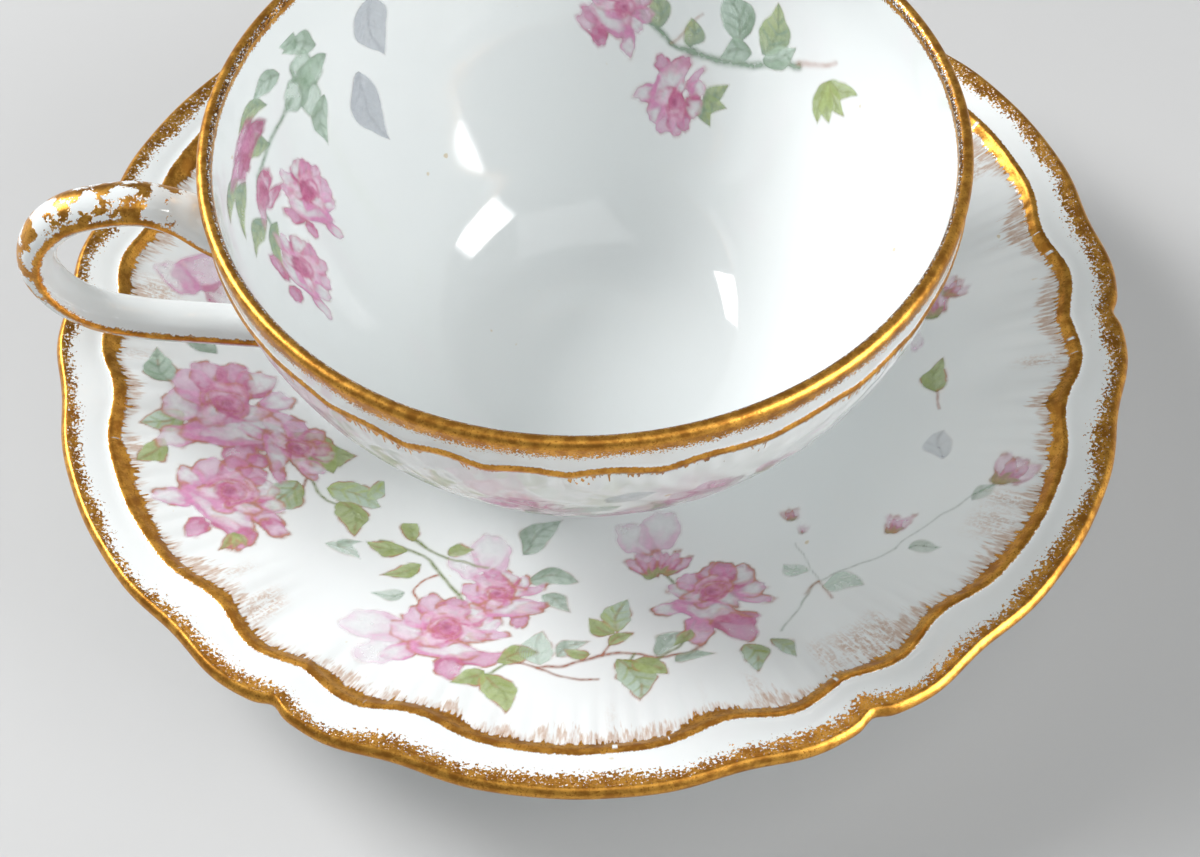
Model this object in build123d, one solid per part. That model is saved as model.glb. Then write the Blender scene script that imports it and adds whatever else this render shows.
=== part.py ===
from build123d import *
import os
from math import cos, pi, sin

# Porcelain teacup standing in its saucer, in millimetres.
# Origin: on the saucer's axis, in the plane of the table. +Z is up, the handle points along -X.

# ---- saucer ----
WELL_RADIUS = 24.0          # flat floor that the cup stands on
WELL_HEIGHT = 4.3           # its height above the table
RIM_RADIUS = 72.05          # mean radius of the scalloped edge
RIM_HEIGHT = 21.9           # height of the upper face at the edge
FLOOR_THICKNESS = 2.4
EDGE_THICKNESS = 1.9
EDGE_SLOPE = 0.28           # rise per millimetre of the face at the edge
EDGE_SPARE = 2.0            # the turned plate runs this far past the edge before it is cut
LOBES = 6
LOBE_TURN = -8.2            # direction of one notch between two lobes, degrees from +X
LINE_RADIUS = 65.2          # mean radius of the raised line inside the edge
LINE_DEPTH = 2.0            # how much deeper the raised line is scalloped than the edge
LINE_WIDTH = 1.7
LINE_RISE = 0.45
SAUCER_FOOT = (34.0, 37.5)  # inner and outer radius of the foot ring
SAUCER_FOOT_TOP = 5.0       # runs up into the body, which trims it

# Points of the upper face between the well and the edge: radius, height above the well,
# and the share of the floor's thickness rather than the edge's that applies there.
FACE_POINTS = ((36.0, 2.6, 0.9), (50.0, 8.9, 0.6), (60.0, 13.4, 0.3), (66.0, 15.6, 0.1))

# ---- cup ----
REST_GAP = 0.1              # between the cup's foot and the well
CUP_RIM_RADIUS = 47.2
CUP_RIM_HEIGHT = 54.8
CUP_UNDERSIDE = 6.6
CUP_FLOOR = 9.5
CUP_FLOOR_RADIUS = 19.5     # flat part of the floor inside
CUP_FOOT = (18.6, 21.4)
LIP_THICKNESS = 1.8
CUP_LINE_HEIGHT = 49.0      # raised line under the lip
CUP_LINE_RADIUS = 46.95
CUP_LINE_BEAD = 0.55

# Walls of the bowl between the floor and the lip, as radius and height, both upwards.
OUTER_WALL = ((28.2, 14.0), (38.2, 27.0), (44.4, 39.0))
INNER_WALL = ((25.2, 14.0), (35.6, 27.0), (42.3, 39.0))
FOOT_SLOPE = (1, 0.55)      # direction of the outer wall where it leaves the foot
LIP_SLOPE = (0.05, 1)       # direction of both walls at the lip

# ---- handle ----
HANDLE_HALF_WIDTH = 3.0
HANDLE_HALF_THICKNESS = 2.6
ROOT_FLARE = 1.45           # how much wider the handle grows where it joins the bowl
HANDLE_RIDGE = 0.25         # depth of the gilded ridge on each side
SECTION_SIZES = ((0.0, ROOT_FLARE), (0.2, 1.0), (0.5, 1.0), (0.75, 1.0), (1.0, ROOT_FLARE))

# Loop of the handle from its upper root to its lower one: reach from the axis and height.
HANDLE_LOOP = (
    (43.5, 42.0),
    (51.0, 46.6),
    (59.5, 48.9),
    (67.0, 45.8),
    (69.9, 39.0),
    (66.2, 31.2),
    (56.6, 26.4),
    (46.0, 23.4),
    (33.0, 20.2),
)

# ---- fired gold ----
GOLD_DEPTH = 0.3
RIM_GOLD_WIDTH = 2.6
EDGE_GOLD_WIDTH = 1.2

# The scallop of one lobe as a cosine series: harmonic of the lobe count, amplitude in mm.
SCALLOP = ((1, -0.27), (2, 0.29), (4, -0.23), (5, -0.14))
OUTLINE_POINTS_PER_LOBE = 12
TALL = 60.0                 # height of the tools that cut right through


def scallop(angle):
    """Radial offset of the scalloped edge at an angle in radians."""
    lobe = LOBES * (angle - LOBE_TURN * pi / 180)
    return sum(size * cos(harmonic * lobe) for harmonic, size in SCALLOP)


def scalloped_face(radius, depth=1.0):
    """Flat face whose outline follows the lobes at a mean radius."""
    count = LOBES * OUTLINE_POINTS_PER_LOBE
    points = []
    for index in range(count):
        angle = 2 * pi * index / count
        reach = radius + depth * scallop(angle)
        points.append((reach * cos(angle), reach * sin(angle)))
    return make_face(Spline(*points, periodic=True))


def turned(*edges):
    """Solid turned about the Z axis from edges that close a profile in radius and height."""
    return revolve(Plane.XZ * make_face(Wire(list(edges))), Axis.Z)


def ring(inner, outer, bottom, top):
    """Plain upright ring."""
    wall = Circle(outer) - Circle(inner)
    return Pos(0, 0, bottom) * extrude(wall, top - bottom)


def saucer_face(drop_floor, drop_edge):
    """Radius and height points of the saucer's upper face, lowered by two amounts."""
    points = [(WELL_RADIUS, WELL_HEIGHT - drop_floor)]
    for radius, rise, share in FACE_POINTS:
        drop = share * drop_floor + (1 - share) * drop_edge
        points.append((radius, WELL_HEIGHT + rise - drop))
    spare_rise = EDGE_SLOPE * EDGE_SPARE / 2
    points.append((RIM_RADIUS + EDGE_SPARE, RIM_HEIGHT + spare_rise - drop_edge))
    return points


def saucer_layer(top, bottom):
    """Turned layer between the saucer's face lowered by top and by bottom, each (floor, edge)."""
    upper = saucer_face(*top)
    lower = saucer_face(*bottom)
    return turned(
        Line((0, lower[0][1]), (0, upper[0][1])),
        Line((0, upper[0][1]), upper[0]),
        Spline(*upper, tangents=((1, 0), (1, EDGE_SLOPE))),
        Line(upper[-1], lower[-1]),
        Spline(*reversed(lower), tangents=((-1, -EDGE_SLOPE), (-1, 0))),
        Line(lower[0], (0, lower[0][1])),
    )


def relief_line():
    """Raised line that follows the lobes inside the edge, let into the face by its gold."""
    crest = [Vector(*point) for point in saucer_face(0, 0)[-3:]]
    up = Vector(0, LINE_RISE)
    down = Vector(0, GOLD_DEPTH)
    corners = [point + up for point in crest] + [point - down for point in reversed(crest)]
    band = revolve(Plane.XZ * make_face(Polyline(*corners, close=True)), Axis.Z)
    half = LINE_WIDTH / 2
    wall = scalloped_face(LINE_RADIUS + half, LINE_DEPTH) - scalloped_face(LINE_RADIUS - half, LINE_DEPTH)
    return band & extrude(wall, TALL)


def make_saucer():
    """Body, foot ring and the two gilded lines of the saucer."""
    plate = saucer_layer((0, 0), (FLOOR_THICKNESS, EDGE_THICKNESS))
    plate &= extrude(scalloped_face(RIM_RADIUS), TALL)
    inside_gold = extrude(scalloped_face(RIM_RADIUS - EDGE_GOLD_WIDTH), TALL)
    line = relief_line()
    return {
        "saucer_body": (plate & inside_gold) - line,
        "saucer_foot_ring": ring(*SAUCER_FOOT, 0, SAUCER_FOOT_TOP) - plate,
        "saucer_rim_gilding": plate - inside_gold,
        "saucer_line_gilding": line,
    }


def bowl_curves():
    """Outer and inner wall of the bowl, from the foot to the lip, as radius and height."""
    lip = CUP_RIM_HEIGHT - LIP_THICKNESS / 2
    outer = Spline(
        (CUP_FOOT[1], CUP_UNDERSIDE),
        *OUTER_WALL,
        (CUP_RIM_RADIUS, lip),
        tangents=(FOOT_SLOPE, LIP_SLOPE),
    )
    inner = Spline(
        (CUP_RIM_RADIUS - LIP_THICKNESS, lip),
        *reversed(INNER_WALL),
        (CUP_FLOOR_RADIUS, CUP_FLOOR),
        tangents=((-LIP_SLOPE[0], -LIP_SLOPE[1]), (-1, 0)),
    )
    return outer, inner


def turned_bowl():
    """Bowl of the cup with its gilding not yet taken out."""
    outer, inner = bowl_curves()
    lip = ThreePointArc(outer @ 1, (CUP_RIM_RADIUS - LIP_THICKNESS / 2, CUP_RIM_HEIGHT), inner @ 0)
    return turned(
        Line((0, CUP_UNDERSIDE), outer @ 0),
        outer,
        lip,
        inner,
        Line(inner @ 1, (0, CUP_FLOOR)),
        Line((0, CUP_FLOOR), (0, CUP_UNDERSIDE)),
    )


def filled_bowl():
    """Everything inside the bowl's outer wall, used to trim the handle."""
    outer, _ = bowl_curves()
    return turned(
        Line((0, CUP_UNDERSIDE), outer @ 0),
        outer,
        Line(outer @ 1, (0, (outer @ 1).Y)),
        Line((0, (outer @ 1).Y), (0, CUP_UNDERSIDE)),
    )


def lip_gilding():
    """Thin cap of gold over the lip and down both sides of it."""
    outer, inner = bowl_curves()
    middle = CUP_RIM_RADIUS - LIP_THICKNESS / 2
    crown = CUP_RIM_HEIGHT
    core = LIP_THICKNESS - 2 * GOLD_DEPTH
    bottom = crown - RIM_GOLD_WIDTH
    band = ring(middle - LIP_THICKNESS, middle + LIP_THICKNESS, bottom, crown + 1)
    round_top = crown - LIP_THICKNESS / 2
    inside = turned(
        Line((middle - core / 2, bottom - 1), (middle + core / 2, bottom - 1)),
        Line((middle + core / 2, bottom - 1), (middle + core / 2, round_top)),
        ThreePointArc(
            (middle + core / 2, round_top), (middle, round_top + core / 2), (middle - core / 2, round_top)
        ),
        Line((middle - core / 2, round_top), (middle - core / 2, bottom - 1)),
    )
    return (turned_bowl() & band) - inside


def line_gilding():
    """Raised round bead under the lip."""
    bead = Torus(CUP_LINE_RADIUS, CUP_LINE_BEAD)
    return Pos(0, 0, CUP_LINE_HEIGHT) * bead


def handle_path():
    """Loop of the handle in the XZ plane, from the upper root to the lower one."""
    points = [(-reach, 0, height) for reach, height in HANDLE_LOOP]
    return Spline(*points)


def handle_section(path, place, size):
    """Oval across the path, wide along Y."""
    across = Plane(origin=path @ place, x_dir=(0, 1, 0), z_dir=path % place)
    return across * Ellipse(HANDLE_HALF_WIDTH * size, HANDLE_HALF_THICKNESS * size)


def make_handle():
    """Handle trimmed to the bowl, and the gilded ridge along each of its sides."""
    path = handle_path()
    sections = [handle_section(path, place, size) for place, size in SECTION_SIZES]
    loop = sweep(sections, path, multisection=True) - filled_bowl()
    slab = Box(2 * CUP_RIM_RADIUS, 2 * HANDLE_HALF_WIDTH, TALL)
    middle = 2 * HANDLE_HALF_WIDTH - HANDLE_RIDGE
    near = Pos(-CUP_RIM_RADIUS, -middle, TALL / 2) * slab
    far = Pos(-CUP_RIM_RADIUS, middle, TALL / 2) * slab
    slabs = near + far
    return loop - slabs, loop & slabs


def make_cup():
    """Bowl, foot ring, handle and gilding of the cup."""
    rim = lip_gilding()
    line = line_gilding()
    handle, ridges = make_handle()
    bowl = turned_bowl() - rim - line
    foot = ring(*CUP_FOOT, WELL_HEIGHT + REST_GAP, CUP_UNDERSIDE)
    return {
        "cup_bowl": bowl,
        "cup_foot_ring": foot,
        "cup_handle": handle - line,
        "cup_rim_gilding": rim,
        "cup_line_gilding": line,
        "handle_gilding": ridges,
    }


os.makedirs("parts", exist_ok=True)
for node, solid in {**make_saucer(), **make_cup()}.items():
    export_step(solid, f"parts/{node}.step")
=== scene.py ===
"""Gilded porcelain teacup and scalloped saucer, painted with rose sprays."""
import math

import bpy
import numpy as np
from mathutils import Matrix, Vector


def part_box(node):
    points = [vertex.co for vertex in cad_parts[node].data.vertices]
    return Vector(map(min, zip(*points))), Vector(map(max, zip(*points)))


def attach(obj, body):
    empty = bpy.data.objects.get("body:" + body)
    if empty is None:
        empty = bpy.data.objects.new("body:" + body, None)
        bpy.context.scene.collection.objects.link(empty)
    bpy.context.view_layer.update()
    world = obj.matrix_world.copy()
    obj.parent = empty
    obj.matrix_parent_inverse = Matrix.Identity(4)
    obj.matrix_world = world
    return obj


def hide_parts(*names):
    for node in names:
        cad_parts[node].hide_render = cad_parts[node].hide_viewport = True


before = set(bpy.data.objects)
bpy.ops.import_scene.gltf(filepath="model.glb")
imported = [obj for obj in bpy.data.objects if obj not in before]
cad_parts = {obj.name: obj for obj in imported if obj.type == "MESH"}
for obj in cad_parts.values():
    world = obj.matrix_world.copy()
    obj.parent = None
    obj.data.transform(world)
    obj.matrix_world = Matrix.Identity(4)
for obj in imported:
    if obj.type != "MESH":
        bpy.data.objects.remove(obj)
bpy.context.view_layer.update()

bl_info = {
    "name": "Gilded Teacup",
    "version": (1, 0, 0),
    "blender": (4, 5, 0),
    "location": "3D View > Sidebar > Teacup",
    "description": "Builds a gilded porcelain teacup in its scalloped saucer",
    "category": "Object",
}

MM = 0.001


def box_mm(node):
    """Lowest and highest corner of a frame node, in millimetres."""
    low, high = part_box(node)
    return np.array(low) / MM, np.array(high) / MM


# ---- sizes, in millimetres, from the frame or given here ----
LIP_LOW, LIP_HIGH = box_mm("cup_rim_gilding")
LIP_RADIUS = (LIP_HIGH[0] - LIP_LOW[0]) / 2
LIP_HEIGHT = LIP_HIGH[2]
LIP_THICKNESS = 1.8
LIP_ROUND = LIP_THICKNESS / 2
BOWL_BASE = box_mm("cup_bowl")[0][2]
BEAD_HEIGHT = float(np.mean([corner[2] for corner in box_mm("cup_line_gilding")]))
CUP_FOOT_LOW, CUP_FOOT_HIGH = box_mm("cup_foot_ring")
CUP_FOOT_RADIUS = CUP_FOOT_HIGH[0]
SAUCER_FOOT_RADIUS = box_mm("saucer_foot_ring")[1][0]
WELL_HEIGHT = CUP_FOOT_LOW[2] - 0.1
EDGE_RADIUS = 72.05
EDGE_THICKNESS = 1.9
EDGE_ROUND = EDGE_THICKNESS / 2
LINE_RADIUS = 65.2
LINE_DEPTH = 2.0
LOBES = 6
LOBE_TURN = math.radians(-8.2)
SCALLOP = ((1, -0.27), (2, 0.29), (4, -0.23), (5, -0.14))
NOTCH_DEPTH = 0.8
NOTCH_WIDTH = 1.25
FLUTES = 128

# Radius and height along each turned face, from the axis outwards or from the foot upwards.
SAUCER_FACE = ((0, 0), (18, 0), (23, 0.02), (36, 2.6), (50, 8.9), (60, 13.4), (66, 15.6),
    (71.1, 17.15))
SAUCER_BACK = ((71.1, 15.25), (66, 13.6), (60, 11.3), (50, 6.6), (36, 0.4), (26, -2.2), (18, -2.4),
    (0, -2.4))
BOWL_OUTSIDE = ((21.4, 6.6), (24.4, 9.3), (28.2, 14), (33.4, 20.3), (38.2, 27), (44.4, 39),
    (46.4, 46), (47.2, 53.9))
BOWL_INSIDE = (
    (0, 9.5), (8, 9.5), (15, 9.55), (19, 10.1), (22.2, 11.6), (25.6, 14.3), (30.4, 20), (35.6, 27),
    (42.3, 39), (44.6, 46), (45.4, 53.9),
)
HANDLE_LOOP = (
    (44.6, 43.0), (47.6, 44.0), (51.0, 46.6), (55.2, 48.7), (59.5, 48.9), (64.2, 47.9),
    (67.8, 44.9),
    (69.6, 39.4), (68.3, 34.2), (64.8, 30.0), (59.5, 27.3), (52.0, 25.1), (44.0, 23.0),
    (35.4, 21.0),
)
HANDLE_HALF_WIDTH = 3.0
HANDLE_HALF_THICKNESS = 2.6
FILM = 0.035


# ---- small helpers ----
def linear(red, green, blue):
    """Linear light from the usual screen values, 0 to 1."""
    values = np.array((red, green, blue), float)
    return np.where(values <= 0.04045, values / 12.92, ((values + 0.055) / 1.055) ** 2.4)


def ramp(value, low, high):
    """Smooth step from 0 at low to 1 at high."""
    share = np.clip((value - low) / (high - low), 0, 1)
    return share * share * (3 - 2 * share)


def bell(value, width):
    """Bell curve of a half-width."""
    return np.exp(-((value / width) ** 2))


def smooth_path(points, count):
    """Evenly spaced places on a smooth curve through points."""
    corners = np.array(points, float)
    length = np.r_[0, np.cumsum(np.linalg.norm(np.diff(corners, axis=0), axis=1))]
    slope = np.gradient(corners, length, axis=0)
    at = (np.linspace(0, length[-1], count) if np.isscalar(count)
          else np.asarray(count) * length[-1])
    index = np.clip(np.searchsorted(length, at, side="right") - 1, 0, len(length) - 2)
    step = (length[index + 1] - length[index])[:, None]
    t = ((at - length[index]) / step[:, 0])[:, None]
    start, end = corners[index], corners[index + 1]
    rise = (2 * t**3 - 3 * t**2 + 1) * start + (t**3 - 2 * t**2 + t) * step * slope[index]
    return rise + (3 * t**2 - 2 * t**3) * end + (t**3 - t**2) * step * slope[index + 1]


def along(points, column, value):
    """The other column of a smooth curve, read at values of one column."""
    dense = smooth_path(points, 800)
    order = np.argsort(dense[:, column])
    return np.interp(value, dense[order, column], dense[order, 1 - column])


def wobble(angle, waves, seed):
    """Irregular closed wave round the axis, about -1 to 1."""
    draw = np.random.default_rng(seed)
    total = 0
    for wave in waves:
        total = total + np.sin(wave * angle + draw.uniform(0, 2 * math.pi))
    return total / math.sqrt(len(waves))


def scallop(reach, angle):
    """Radial offset of the lobes and their notches at a plain radius."""
    lobe = LOBES * (angle - LOBE_TURN)
    wave = sum(size * np.cos(harmonic * lobe) for harmonic, size in SCALLOP)
    off = np.degrees((angle - LOBE_TURN + math.pi / LOBES) % (2 * math.pi / LOBES)
                     - math.pi / LOBES)
    inner = ramp(reach, 46, LINE_RADIUS - 1)
    outer = ramp(reach, LINE_RADIUS + 1, EDGE_RADIUS - 1.5)
    notch = NOTCH_DEPTH * bell(off, NOTCH_WIDTH) * (0.25 * inner + 0.75 * outer)
    return wave * (LINE_DEPTH * inner + (1 - LINE_DEPTH) * outer) - notch


def saucer_relief(reach, angle):
    """Height of the raised line, the flutes inside it and the band outside it."""
    across = reach - LINE_RADIUS
    rope = 0.5 + 0.5 * np.abs(np.sin(angle * 74 + 1.4 * wobble(angle, (5, 9, 14), 3)))
    bead = (0.34 + 0.16 * rope) * bell(across, 0.85)
    phase = FLUTES * angle + 2.2 * wobble(angle, (7, 11, 17), 5)
    reach_in = ramp(reach, 54 + 3 * wobble(angle, (9, 13, 22), 8), 63.5)
    flute = -0.2 * reach_in * (1 - ramp(reach, 64.2, 65.2)) * (0.5 + 0.5 * np.cos(phase)) ** 2
    puff = 0.14 * wobble(angle, (12, 18, 31), 9) * ramp(reach, 55, 62) * (1 - ramp(reach, 64, 65))
    band = 0.2 * ramp(reach, 64.7, 65.6) * (1 - ramp(reach, 67.5, 71.5))
    roll = 0.12 * bell(reach - 71.2, 0.9)
    return bead + flute + puff + band + roll


def saucer_surface(x, y, lift=0.0):
    """Height of the finished saucer face over a place, in millimetres."""
    radius = np.hypot(x, y)
    angle = np.arctan2(y, x)
    reach = radius
    for _ in range(3):
        reach = radius - scallop(reach, angle)
    return WELL_HEIGHT + along(SAUCER_FACE, 0, reach) + saucer_relief(reach, angle) + lift


def clear_selection():
    """Deselects everything and leaves edit mode."""
    if bpy.context.object and bpy.context.object.mode != "OBJECT":
        bpy.ops.object.mode_set(mode="OBJECT")
    bpy.ops.object.select_all(action="DESELECT")


def read_points(piece):
    """Vertex places of a piece in millimetres."""
    flat = np.empty(len(piece.data.vertices) * 3)
    piece.data.vertices.foreach_get("co", flat)
    return flat.reshape(-1, 3) / MM


def write_points(piece, places):
    """Moves the vertices of a piece to places in millimetres."""
    piece.data.vertices.foreach_set("co", (np.asarray(places) * MM).ravel())
    piece.data.update()


def write_values(piece, name, values):
    """Stores one number for each vertex."""
    layer = piece.data.attributes.new(name, "FLOAT", "POINT")
    layer.data.foreach_set("value", np.asarray(values, dtype=np.float32))


def write_colours(piece, name, values):
    """Stores one colour for each vertex."""
    layer = piece.data.attributes.new(name, "FLOAT_COLOR", "POINT")
    rgba = np.c_[values, np.ones(len(values))]
    layer.data.foreach_set("color", rgba.astype(np.float32).ravel())


def new_piece(name, vertices, edges=(), faces=()):
    """Adds a mesh piece in metres and makes it the active one."""
    clear_selection()
    data = bpy.data.meshes.new(name)
    data.from_pydata([tuple(place) for place in vertices], list(edges), list(faces))
    piece = bpy.data.objects.new(name, data)
    bpy.context.scene.collection.objects.link(piece)
    bpy.context.view_layer.objects.active = piece
    piece.select_set(True)
    return piece


def turn_profile(name, profile, segments):
    """Spins a chain of radius and height round the axis into one closed skin."""
    chain = [(radius * MM, 0, height * MM) for radius, height in profile]
    links = [(index, index + 1) for index in range(len(chain) - 1)]
    piece = new_piece(name, chain, links)
    bpy.ops.object.modifier_add(type="SCREW")
    turn = piece.modifiers[-1]
    turn.angle = 2 * math.pi
    turn.steps = turn.render_steps = segments
    turn.use_merge_vertices = True
    turn.merge_threshold = 2e-6
    bpy.ops.object.modifier_apply(modifier=turn.name)
    bpy.ops.object.mode_set(mode="EDIT")
    bpy.ops.mesh.select_all(action="SELECT")
    bpy.ops.mesh.remove_doubles(threshold=2e-6)
    bpy.ops.mesh.normals_make_consistent(inside=False)
    bpy.ops.object.mode_set(mode="OBJECT")
    return piece


def finish_piece(piece, body, slot, material, *nodes, angle=math.radians(60)):
    """Smooths a piece, gives it its material and hands it to the frame."""
    clear_selection()
    piece.select_set(True)
    bpy.context.view_layer.objects.active = piece
    bpy.ops.object.shade_smooth_by_angle(angle=angle)
    piece.data.materials.clear()
    piece.data.materials.append(material)
    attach(piece, body)
    if nodes:
        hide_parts(*nodes)


# ---- shader maths ----
class Val:
    """A shader socket that takes Python arithmetic."""

    def __init__(self, nodes, socket):
        self.nodes = nodes
        self.socket = socket

    def math(self, operation, *others):
        """One Math node on this value and up to two others."""
        return self.nodes.add("ShaderNodeMath", {"operation": operation}, (self, *others))

    def __add__(self, other):
        return self.math("ADD", other)

    def __radd__(self, other):
        return self.math("ADD", other)

    def __sub__(self, other):
        return self.math("SUBTRACT", other)

    def __rsub__(self, other):
        return (self * -1).math("ADD", other)

    def __mul__(self, other):
        return self.math("MULTIPLY", other)

    def __rmul__(self, other):
        return self.math("MULTIPLY", other)

    def most(self, other):
        return self.math("MAXIMUM", other)

    def size(self):
        return self.math("ABSOLUTE")

    def step(self, low, high):
        """Smooth step from 0 at low to 1 at high."""
        settings = {"interpolation_type": "SMOOTHSTEP"}
        return self.nodes.add("ShaderNodeMapRange", settings, (self, low, high, 0.0, 1.0))


class Nodes:
    """The node tree of one material."""

    def __init__(self, name):
        self.material = bpy.data.materials.new(name)
        self.material.use_nodes = True
        self.tree = self.material.node_tree
        self.tree.nodes.clear()
        place = self.add("ShaderNodeTexCoord", output="Object")
        self.place = self.add("ShaderNodeVectorMath", {"operation": "SCALE"},
            {0: place, "Scale": 1000.0})

    def add(self, kind, settings=None, inputs=(), output=0):
        """Adds a node: its settings first, then the values or links of its sockets."""
        node = self.tree.nodes.new(kind)
        for key, value in (settings or {}).items():
            setattr(node, key, value)
        pairs = inputs.items() if isinstance(inputs, dict) else enumerate(inputs)
        for key, value in pairs:
            if isinstance(value, Val):
                self.tree.links.new(value.socket, node.inputs[key])
            else:
                node.inputs[key].default_value = value
        return Val(self, node.outputs[output])

    def noise(self, place, scale, detail=2.0, rough=0.5):
        """Noise from about 0 to 1 at so many waves per millimetre."""
        inputs = {"Vector": place, "Scale": scale, "Detail": detail, "Roughness": rough}
        return self.add("ShaderNodeTexNoise", inputs=inputs, output="Fac")

    def value(self, name):
        """A number stored on the vertices."""
        return self.add("ShaderNodeAttribute", {"attribute_name": name}, output="Fac")

    def parts(self, vector=None):
        """X, Y and Z of a vector, or of the place in millimetres."""
        split = self.tree.nodes.new("ShaderNodeSeparateXYZ")
        self.tree.links.new((vector or self.place).socket, split.inputs[0])
        return [Val(self, socket) for socket in split.outputs]

    def join(self, x, y, z):
        return self.add("ShaderNodeCombineXYZ", inputs=(x, y, z))

    def blend(self, share, first, second):
        """Colour between two colours."""
        settings = {"data_type": "RGBA"}
        return self.add("ShaderNodeMix", settings, {0: share, 6: first, 7: second}, output=2)

    def bump(self, height, distance):
        inputs = {"Strength": 1.0, "Distance": distance * MM, "Height": height}
        return self.add("ShaderNodeBump", inputs=inputs)

    def surface(self, fixed, varying):
        """Principled shader with values of its own and linked ones."""
        shader = self.tree.nodes.new("ShaderNodeBsdfPrincipled")
        for key, value in fixed.items():
            shader.inputs[key].default_value = value
        for key, value in varying.items():
            self.tree.links.new(value.socket, shader.inputs[key])
        end = self.tree.nodes.new("ShaderNodeOutputMaterial")
        self.tree.links.new(shader.outputs[0], end.inputs[0])
        return self.material


def colour(values, alpha=1.0):
    """Four linear numbers of a colour."""
    return (*[float(value) for value in values], alpha)


GLAZE = {"Coat Roughness": 0.03, "Specular IOR Level": 0.5, "IOR": 1.52, "Subsurface Scale": 0.002}


def glazed(nodes, gold, fine, tint=None, soot=None):
    """Glazed porcelain with gold where the mask is one, and small marks in the glaze."""
    looks = bpy.context.scene.teacup_looks
    cloud = nodes.noise(nodes.place, 0.045, 3.0)
    white = nodes.blend(cloud, colour(looks.porcelain),
        colour(np.array(looks.porcelain) * (0.965, 0.975, 0.985)))
    if tint is not None:
        white = nodes.blend(tint[0], white, tint[1])
    speck = nodes.noise(nodes.place, 0.42, 1.0).step(0.79, 0.83) * 0.5
    white = nodes.blend(speck, white, colour(linear(0.80, 0.68, 0.36)))
    patch = nodes.noise(nodes.place, 0.55, 4.0, 0.65)
    dark, mid = colour(looks.gold_dark), colour(looks.gold)
    metal = nodes.blend(patch.step(0.36, 0.62), dark, mid)
    metal = nodes.blend(fine.step(0.30, 0.44) * -1 + 1, metal, dark)
    if soot is not None:
        metal = nodes.blend(soot, metal, colour(linear(0.33, 0.21, 0.11)))
    base = nodes.blend(gold, white, metal)
    shine = nodes.noise(nodes.place, 0.3, 3.0)
    gloss = shine * 0.05 + 0.045
    burnish = patch * 0.3 + 0.2
    rough = gloss + gold * (burnish - gloss)
    height = gold * 0.6 + fine * gold * 0.5 + shine * 0.25
    return {
        "Base Color": base,
        "Roughness": rough,
        "Metallic": gold * 0.86,
        "Normal": nodes.bump(height, 0.035),
    }


def edge_gold(nodes, inset, arc, sponge):
    """Sponged gold round the saucer's edge, chipped and stippled inwards."""
    slow = nodes.noise(arc, 0.085, 2.0)
    fade = inset - slow * 4.6 - 0.1
    dots = nodes.noise(nodes.place, 2.7, 2.0)
    gold = ((dots - 0.5) * 5.0 + (sponge - 0.5) * 4.2 - fade * 1.25).step(-0.2, 0.2)
    gold = gold.most(0.95 - inset.step(0.55, 0.8)) * inset.step(-1.5, -0.9)
    chips = nodes.noise(nodes.place, 3.0, 2.0, 0.7).step(0.6, 0.66) * inset.step(0.8, 1.2)
    return gold * (1 - chips * 0.9)


def line_gold(nodes, across, arc, strokes, sponge):
    """Gold on the raised line: crisp outside, feathered inside, nicked here and there."""
    dots = nodes.noise(nodes.place, 2.7, 2.0)
    ragged = (sponge - 0.5) * 0.9 + (dots - 0.5) * 0.5
    outer = (across * -1 + 0.8 + ragged * 0.5).step(-0.06, 0.1)
    feather = strokes.step(0.45, 0.8) * 1.1 + nodes.noise(arc, 0.12, 1.0).step(0.45, 0.7) * 0.8
    inner = (across + 0.9 + feather + ragged * 0.7).step(-0.12, 0.16)
    nick = (nodes.noise(arc, 0.62, 2.0, 0.6).step(0.665, 0.69)
            * (1 - (across + 0.2).size().step(0.2, 0.6)))
    return outer * inner * (1 - nick)


def dry_gold(nodes, across, arc, strokes, sponge):
    """Thin gold brushed inwards from the raised line, and soft smudges beside its dips."""
    depth = nodes.noise(arc, 0.16, 2.0).step(0.34, 0.7) * 4.6 + 1.0
    brush = ((1 - ((across + 0.8) * -1 - depth * strokes * 1.1).step(-1.1, 0.6))
             * (1 - across.step(-1.2, -0.4)))
    brush = brush * strokes.step(0.25, 0.62) * (sponge * 0.6 + 0.4) * 0.8
    smudge = (nodes.noise(arc, 0.11, 1.0).step(0.55, 0.68) * across.step(-8.7, -4.7)
              * (1 - across.step(-2.4, -0.6)))
    smudge = smudge * strokes.step(0.3, 0.6) * sponge.step(0.3, 0.6) * 0.6
    return smudge.most(brush)


def saucer_porcelain():
    """White glaze with the saucer's worn gold edge, gold line and soft gold smudges."""
    nodes = Nodes("saucer_porcelain")
    x, y, _ = nodes.parts()
    inset, reach = nodes.value("inset"), nodes.value("reach")
    ray = nodes.add("ShaderNodeVectorMath", {"operation": "NORMALIZE"}, (nodes.join(x, y, 0.0),))
    arc = nodes.add("ShaderNodeVectorMath", {"operation": "SCALE"}, {0: ray, "Scale": LINE_RADIUS})
    round_x, round_y, _ = nodes.parts(arc)
    strokes = nodes.noise(nodes.join(round_x, round_y, reach * 0.22), 2.3, 2.0)
    sponge = nodes.noise(nodes.place, 2.1, 3.0, 0.62)
    grit = nodes.noise(nodes.place, 3.4, 1.0)
    across = reach - LINE_RADIUS
    upper = inset.step(0.0, 0.5)
    line = line_gold(nodes, across, arc, strokes, sponge) * upper
    gold = edge_gold(nodes, inset, arc, sponge).most(line)
    thin = dry_gold(nodes, across, arc, strokes, sponge) * upper
    looks = bpy.context.scene.teacup_looks
    tint = (thin, colour(np.array(looks.gold_dark) * (1.0, 0.95, 0.9)))
    return nodes.surface(GLAZE, glazed(nodes, gold, grit, tint))


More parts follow.
